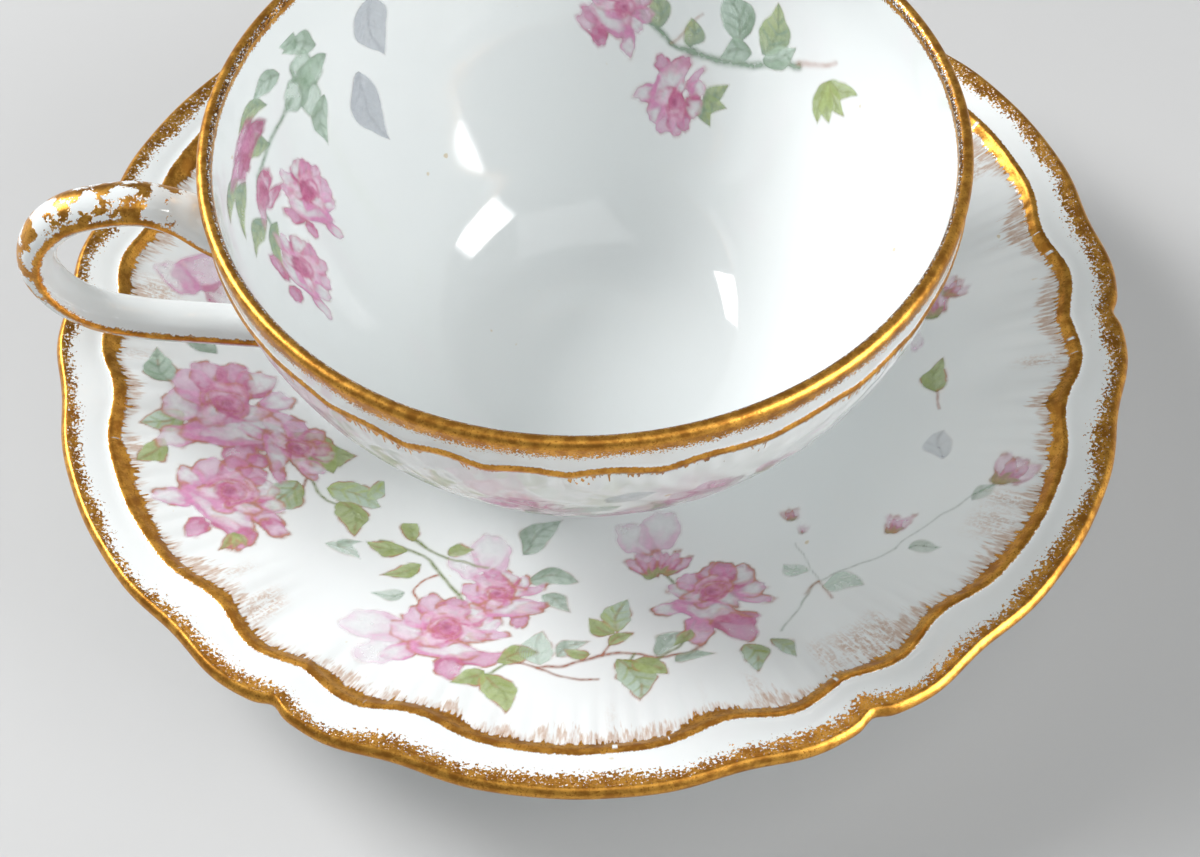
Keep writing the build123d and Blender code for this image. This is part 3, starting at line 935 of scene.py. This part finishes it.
# ---- settings ----
class TeacupLooks(bpy.types.PropertyGroup):
    """Colours and small sizes that a user may change."""

    porcelain: bpy.props.FloatVectorProperty(
        name="Porcelain", description="Colour of the glazed porcelain", subtype="COLOR",
        default=tuple(linear(0.945, 0.957, 0.955)), min=0, max=1)
    gold: bpy.props.FloatVectorProperty(
        name="Gold", description="Colour of burnished gold", subtype="COLOR",
        default=tuple(linear(0.86, 0.63, 0.27)), min=0, max=1)
    gold_dark: bpy.props.FloatVectorProperty(
        name="Worn gold", description="Colour of gold that is worn and dull", subtype="COLOR",
        default=tuple(linear(0.69, 0.46, 0.17)), min=0, max=1)
    floor: bpy.props.FloatVectorProperty(
        name="Floor", description="Colour of the floor", subtype="COLOR",
        default=tuple(linear(0.80, 0.80, 0.80)), min=0, max=1)
    paint_spacing: bpy.props.FloatProperty(
        name="Paint spacing", description="Distance between painted places, in millimetres",
        default=0.2, min=0.1, max=1.0)


class TEACUP_OT_saucer(bpy.types.Operator):
    """Scalloped saucer with its gilded edge, raised line and flutes"""

    bl_idname = "teacup.saucer"
    bl_label = "Saucer"

    def execute(self, context):
        face = np.array(SAUCER_FACE, float) + (0, WELL_HEIGHT)
        back = np.array(SAUCER_BACK, float) + (0, WELL_HEIGHT)
        length = np.r_[np.linspace(0, 0.30, 6), np.linspace(0.34, 0.74, 26),
            np.linspace(0.75, 1, 52)]
        top = smooth_path(face, length)
        centre = (top[-1] + back[0]) / 2
        turns = np.linspace(math.pi / 2, -math.pi / 2, 13)[1:-1]
        edge = [centre + EDGE_ROUND * np.array((math.cos(turn), math.sin(turn))) for turn in turns]
        profile = np.vstack((top, edge, smooth_path(back, 26)))
        saucer = turn_profile("saucer_dish", profile, 780)
        places = read_points(saucer)
        radius = np.hypot(places[:, 0], places[:, 1])
        angle = np.arctan2(places[:, 1], places[:, 0])
        middle = WELL_HEIGHT + (along(SAUCER_FACE, 0, radius) + along(SAUCER_BACK, 0, radius)) / 2
        upper = (places[:, 2] >= middle) | (radius > EDGE_RADIUS - 0.02)
        reach = radius + scallop(radius, angle)
        height = places[:, 2] + np.where(upper, saucer_relief(radius, angle),
            0) * ramp(EDGE_RADIUS - radius, 0, 0.9)
        write_points(saucer, np.c_[reach * np.cos(angle), reach * np.sin(angle), height])
        write_values(saucer, "inset", np.where(upper, 1, -1) * (EDGE_RADIUS - radius))
        write_values(saucer, "reach", radius)
        nodes = ("saucer_body", "saucer_rim_gilding", "saucer_line_gilding")
        finish_piece(saucer, "saucer", "porcelain", saucer_porcelain(), *nodes)
        return {"FINISHED"}


def foot_ring(name, inner, outer, bottom, top, body, node):
    """Turned ring with rounded foot and a bare face underneath."""
    soft = 0.5
    profile = [(inner - 0.5, top), (inner, top - 0.6), (inner + 0.1, bottom + soft)]
    for turn in np.linspace(math.pi, 1.5 * math.pi, 6):
        profile.append((inner + 0.1 + soft + soft * math.cos(turn),
            bottom + soft + soft * math.sin(turn)))
    for turn in np.linspace(1.5 * math.pi, 2 * math.pi, 6):
        profile.append((outer - 0.1 - soft + soft * math.cos(turn),
            bottom + soft + soft * math.sin(turn)))
    profile += [(outer, top - 0.6), (outer + 0.5, top), ((inner + outer) / 2, top + 0.15),
        (inner - 0.5, top)]
    ring = turn_profile(name, profile, 192)
    places = read_points(ring)
    write_values(ring, "bare", 1 - ramp(places[:, 2], bottom + 0.1, bottom + 0.3))
    finish_piece(ring, body, "biscuit", foot_porcelain(), node)


class TEACUP_OT_feet(bpy.types.Operator):
    """Foot rings of the saucer and the cup"""

    bl_idname = "teacup.feet"
    bl_label = "Foot rings"

    def execute(self, context):
        foot_ring("saucer_foot", SAUCER_FOOT_RADIUS - 3.5, SAUCER_FOOT_RADIUS, 0.0, 4.6, "saucer",
            "saucer_foot_ring")
        cup_inner = CUP_FOOT_RADIUS - 2.8
        foot_ring("cup_foot", cup_inner, CUP_FOOT_RADIUS, CUP_FOOT_LOW[2], BOWL_BASE + 0.05, "cup",
            "cup_foot_ring")
        return {"FINISHED"}


def bead_wave(angle):
    """Height of the raised line under the lip, about its mean."""
    wave = np.abs(np.sin(angle * 13 + 0.7 * wobble(angle, (3, 5), 21)))
    return 0.75 * (wave - 0.62) + 0.18 * wobble(angle, (19, 31), 22)


def bowl_relief(angle, height):
    """Outward swell of the raised line, the swirls and the fine ribs on the bowl's outside."""
    wave = height - BEAD_HEIGHT - bead_wave(angle)
    arc = angle * 46
    swirl = np.sin(arc * 0.42 + 2.2 * np.sin(height * 0.33 + 0.8 * np.sin(arc * 0.11)))
    swirl = 0.16 * np.abs(swirl) ** 3 * ramp(height, 18, 26) * (1 - ramp(height, 44, 47.5))
    ribs = 0.07 * np.cos(angle * 96) * ramp(height, 43.5, 46) * (1 - ramp(wave, -1.2, -0.4))
    return (0.34 * bell(wave, 0.6) + swirl + ribs) * (height < LIP_HEIGHT - 1.5)


class TEACUP_OT_bowl(bpy.types.Operator):
    """Thin bowl with its gilded lip and embossed wall"""

    bl_idname = "teacup.bowl"
    bl_label = "Bowl"

    def execute(self, context):
        inside = smooth_path(BOWL_INSIDE, np.r_[np.linspace(0, 0.85, 44), np.linspace(0.86, 1,
            20)])
        outside = smooth_path(BOWL_OUTSIDE[::-1],
            np.r_[np.linspace(0, 0.2, 34), np.linspace(0.21, 1, 44)])
        centre = np.array((LIP_RADIUS - LIP_ROUND, LIP_HEIGHT - LIP_ROUND))
        turns = np.linspace(math.pi, 0, 13)[1:-1]
        lip = [centre + LIP_ROUND * np.array((math.cos(turn), math.sin(turn))) for turn in turns]
        base = [(outside[-1][0] - 3, BOWL_BASE), (0, BOWL_BASE)]
        profile = np.vstack((inside, lip, outside, base))
        bowl = turn_profile("cup_bowl_porcelain", profile, 620)
        places = read_points(bowl)
        radius = np.hypot(places[:, 0], places[:, 1])
        angle = np.arctan2(places[:, 1], places[:, 0])
        height = places[:, 2]
        within = along(BOWL_INSIDE, 1, np.maximum(height, 9.8)) + 0.5
        outer = np.where(height > LIP_HEIGHT - LIP_ROUND, radius > centre[0], radius > within)
        outer |= height < 9.2
        wave = height - BEAD_HEIGHT - bead_wave(angle)
        grown = radius + np.where(outer, bowl_relief(angle, height), 0)
        write_points(bowl, np.c_[grown * np.cos(angle), grown * np.sin(angle), height])
        write_values(bowl, "drop", np.where(outer, 1, -1) * (LIP_HEIGHT - height))
        write_values(bowl, "wave", np.where(outer, wave, 99))
        finish_piece(bowl, "cup", "porcelain", cup_porcelain(), "cup_bowl", "cup_rim_gilding",
            "cup_line_gilding")
        return {"FINISHED"}


def side_gap(turn, curl):
    """Angle between each place round a section and its nearer gilded ridge."""
    shift = np.where(np.cos(turn) > 0, curl, -curl)
    around = (turn + shift + math.pi / 2) % math.pi - math.pi / 2
    return np.abs(around)


def handle_rings(rings, sides):
    """Rings of the handle, and for each place its distance from a ridge and its share of worn gold."""
    line = smooth_path(HANDLE_LOOP, rings)
    ahead = np.gradient(line, axis=0)
    ahead /= np.linalg.norm(ahead, axis=1)[:, None]
    outward = np.c_[-ahead[:, 1], ahead[:, 0]]
    from_top = np.r_[0, np.cumsum(np.linalg.norm(np.diff(line, axis=0), axis=1))]
    from_low = from_top[-1] - from_top
    wide = 1 + 1.25 * np.exp(-from_top / 2.6) + 0.7 * np.exp(-from_low / 3.0)
    thick = 1 + 0.55 * np.exp(-from_top / 3.0) + 0.35 * np.exp(-from_low / 3.0)
    curl = 0.42 * (1 - ramp(from_top, 4.0, 12.0))
    upper = ramp(62 - from_top, 0, 34) * ramp(from_top, 5, 13)
    turn = np.linspace(0, 2 * math.pi, sides, endpoint=False)
    places, ridge, crown = [], [], []
    for index in range(rings):
        gap = side_gap(turn, curl[index])
        lump = 1 + 0.07 * bell(gap, 0.16)
        across = HANDLE_HALF_WIDTH * wide[index] * np.cos(turn) * lump
        out = HANDLE_HALF_THICKNESS * thick[index] * np.sin(turn) * lump
        out = np.where(np.sin(turn) < 0, out * 0.86, out)
        middle = line[index] + outward[index] * out[:, None]
        places.append(np.c_[-middle[:, 0], across, middle[:, 1]])
        ridge.append(gap * HANDLE_HALF_WIDTH)
        lean = turn + 0.45 * np.sign(np.cos(turn))
        crown.append(np.clip(np.sin(lean), 0, 1) * upper[index])
    return np.vstack(places), np.concatenate(ridge), np.concatenate(crown)


def tube_faces(rings, sides):
    """Faces between rings, with both ends closed."""
    faces = [tuple(reversed(range(sides))), tuple(range((rings - 1) * sides, rings * sides))]
    for low in range(0, (rings - 1) * sides, sides):
        for number in range(sides):
            after = (number + 1) % sides
            faces.append((low + number, low + after, low + sides + after, low + sides + number))
    return faces


class TEACUP_OT_handle(bpy.types.Operator):
    """Looped handle with its gilded ridges"""

    bl_idname = "teacup.handle"
    bl_label = "Handle"

    def execute(self, context):
        rings, sides = 220, 64
        places, ridge, crown = handle_rings(rings, sides)
        radius = np.hypot(places[:, 0], places[:, 1])
        wall = along(BOWL_OUTSIDE, 1, places[:, 2]) - 0.9
        places[:, :2] *= np.maximum(wall / radius, 1)[:, None]
        handle = new_piece("cup_handle_porcelain", places * MM, (), tube_faces(rings, sides))
        bpy.ops.object.mode_set(mode="EDIT")
        bpy.ops.mesh.select_all(action="SELECT")
        bpy.ops.mesh.normals_make_consistent(inside=False)
        bpy.ops.object.mode_set(mode="OBJECT")
        write_values(handle, "ridge", ridge)
        write_values(handle, "crown", crown)
        finish_piece(handle, "cup", "porcelain", handle_porcelain(), "cup_handle",
            "handle_gilding")
        return {"FINISHED"}


class TEACUP_OT_saucer_paint(bpy.types.Operator):
    """Rose sprays on the saucer"""

    bl_idname = "teacup.saucer_paint"
    bl_label = "Saucer sprays"

    def execute(self, context):
        spacing = context.scene.teacup_looks.paint_spacing
        enamel = painted_film("saucer_enamel", 1.0)
        sprays = (
            ("left_roses", (-63.5, -34), (-30, 22), left_cluster, 0),
            ("front_roses", (-38, -61), (-3, -23), front_cluster, 0),
            ("front_sprig", (-16.5, -61), (22.5, -22), trailing_sprig, 0),
            ("right_buds", (17.5, -52), (58, 7), faint_sprays, 0),
            ("back_roses", (-63.5, -34), (-30, 22), left_cluster, -138),
            ("back_sprig", (-16.5, -61), (22.5, -22), trailing_sprig, 196),
        )
        for number, (name, low, high, artwork, turn) in enumerate(sprays):
            angle = math.radians(turn)

            def place(x, y, angle=angle):
                east = x * math.cos(angle) - y * math.sin(angle)
                north = x * math.sin(angle) + y * math.cos(angle)
                return np.c_[east, north, saucer_surface(east, north, FILM)]

            film = paint_film("saucer_" + name, low, high, spacing, artwork, place, 40 + number)
            finish_piece(film, "saucer", "porcelain", enamel)
        return {"FINISHED"}


class TEACUP_OT_cup_paint(bpy.types.Operator):
    """Rose sprays inside and outside the bowl"""

    bl_idname = "teacup.cup_paint"
    bl_label = "Cup sprays"

    def execute(self, context):
        spacing = context.scene.teacup_looks.paint_spacing
        soft = painted_film("cup_enamel", 1.0)
        faint = painted_film("cup_outer_enamel", 0.6)
        sprays = (
            ("left_roses", 160, (-27, 24), (22, 49.5), cup_left_roses, True, soft),
            ("right_roses", 55, (-25, 21), (24, 45), cup_right_roses, True, soft),
            ("outer_front", -92, (-27, 22), (27, 43), cup_outer_roses, False, faint),
            ("outer_back", 78, (-27, 22), (27, 43), cup_outer_roses, False, faint),
        )
        for number, (name, middle, low, high, artwork, within, enamel) in enumerate(sprays):

            def place(x, y, middle=math.radians(middle), within=within):
                angle = middle + x / 40
                if within:
                    radius = along(BOWL_INSIDE, 1, y) - FILM
                else:
                    radius = along(BOWL_OUTSIDE, 1, y) + bowl_relief(angle, y) + FILM
                return np.c_[radius * np.cos(angle), radius * np.sin(angle), y]

            film = paint_film("cup_" + name, low, high, spacing, artwork, place, 70 + number,
                within, 0.12)
            finish_piece(film, "cup", "porcelain", enamel)
        return {"FINISHED"}


class TEACUP_OT_stage(bpy.types.Operator):
    """Floor, lights and camera"""

    bl_idname = "teacup.stage"
    bl_label = "Stage"

    def execute(self, context):
        looks = context.scene.teacup_looks
        clear_selection()
        bpy.ops.mesh.primitive_plane_add(size=14.0, location=(0, 0, 0))
        floor = context.object
        floor.name = "floor"
        nodes = Nodes("floor")
        cloud = nodes.noise(nodes.place, 0.004, 3.0)
        base = nodes.blend(cloud, colour(looks.floor), colour(np.array(looks.floor) * 0.97))
        floor.data.materials.append(nodes.surface({"Roughness": 0.6}, {"Base Color": base}))
        self.light("window", (-0.75, 0.45, 0.65), (0.45, 0.45), 12.3, (0, 0, 0.03))
        self.light("side_window", (0.78, -0.46, 0.46), (0.55, 0.75), 5.2, (0, 0, 0.03))
        sheen = self.light("side_sheen", (0.79, -0.47, 0.46), (0.5, 0.75), 11.0, (0, 0, 0.03))
        sheen.visible_diffuse = False
        self.light("ceiling", (0.1, -0.45, 1.2), (0.9, 0.9), 2.6, (0, 0, 0.02))
        world = bpy.data.worlds.new("room")
        world.use_nodes = True
        backing = world.node_tree.nodes["Background"]
        backing.inputs["Color"].default_value = (0.88, 0.93, 0.94, 1)
        backing.inputs["Strength"].default_value = 0.25
        context.scene.world = world
        self.camera(context)
        context.scene.view_settings.view_transform = "Standard"
        return {"FINISHED"}

    def light(self, name, place, size, power, target):
        """Adds a soft rectangular light that faces a point."""
        data = bpy.data.lights.new(name, "AREA")
        data.shape = "RECTANGLE"
        data.size, data.size_y = size
        data.energy = power
        lamp = bpy.data.objects.new(name, data)
        bpy.context.scene.collection.objects.link(lamp)
        lamp.location = place
        lamp.rotation_euler = (Vector(target) - Vector(place)).to_track_quat("-Z", "Y").to_euler()
        return lamp

    def camera(self, context):
        """Camera above the front of the cup, looking down into it."""
        target = Vector((0.00025, -0.00743, 0.002))
        distance, rise, side, roll = 0.270, math.radians(54.55), math.radians(-95), math.radians(-1.66)
        away = Vector((math.cos(rise) * math.cos(side), math.cos(rise) * math.sin(side),
            math.sin(rise)))
        data = bpy.data.cameras.new("view")
        data.lens = 56.97
        data.sensor_width = 36
        data.clip_start = 0.01
        camera = bpy.data.objects.new("view", data)
        context.scene.collection.objects.link(camera)
        turn = (-away).to_track_quat("-Z", "Y").to_matrix() @ Matrix.Rotation(roll, 3, "Z")
        camera.matrix_world = Matrix.Translation(target + away * distance) @ turn.to_4x4()
        context.scene.camera = camera


class TEACUP_PT_panel(bpy.types.Panel):
    """Steps that build the teacup"""

    bl_label = "Teacup"
    bl_idname = "TEACUP_PT_panel"
    bl_space_type = "VIEW_3D"
    bl_region_type = "UI"
    bl_category = "Teacup"

    def draw(self, context):
        looks = context.scene.teacup_looks
        for name in ("porcelain", "gold", "gold_dark", "floor", "paint_spacing"):
            self.layout.prop(looks, name)
        for step in STEPS:
            self.layout.operator(step.bl_idname)


STEPS = (
    TEACUP_OT_saucer,
    TEACUP_OT_feet,
    TEACUP_OT_bowl,
    TEACUP_OT_handle,
    TEACUP_OT_saucer_paint,
    TEACUP_OT_cup_paint,
    TEACUP_OT_stage,
)
CLASSES = (TeacupLooks, *STEPS, TEACUP_PT_panel)


def register():
    for entry in CLASSES:
        bpy.utils.register_class(entry)
    bpy.types.Scene.teacup_looks = bpy.props.PointerProperty(type=TeacupLooks)


def unregister():
    del bpy.types.Scene.teacup_looks
    for entry in reversed(CLASSES):
        bpy.utils.unregister_class(entry)


def main():
    """Builds every piece in order."""
    register()
    for step in STEPS:
        group, name = step.bl_idname.split(".")
        if getattr(getattr(bpy.ops, group), name)() != {"FINISHED"}:
            raise RuntimeError(step.bl_idname + " didn't finish")


if __name__ == "__main__":
    main()
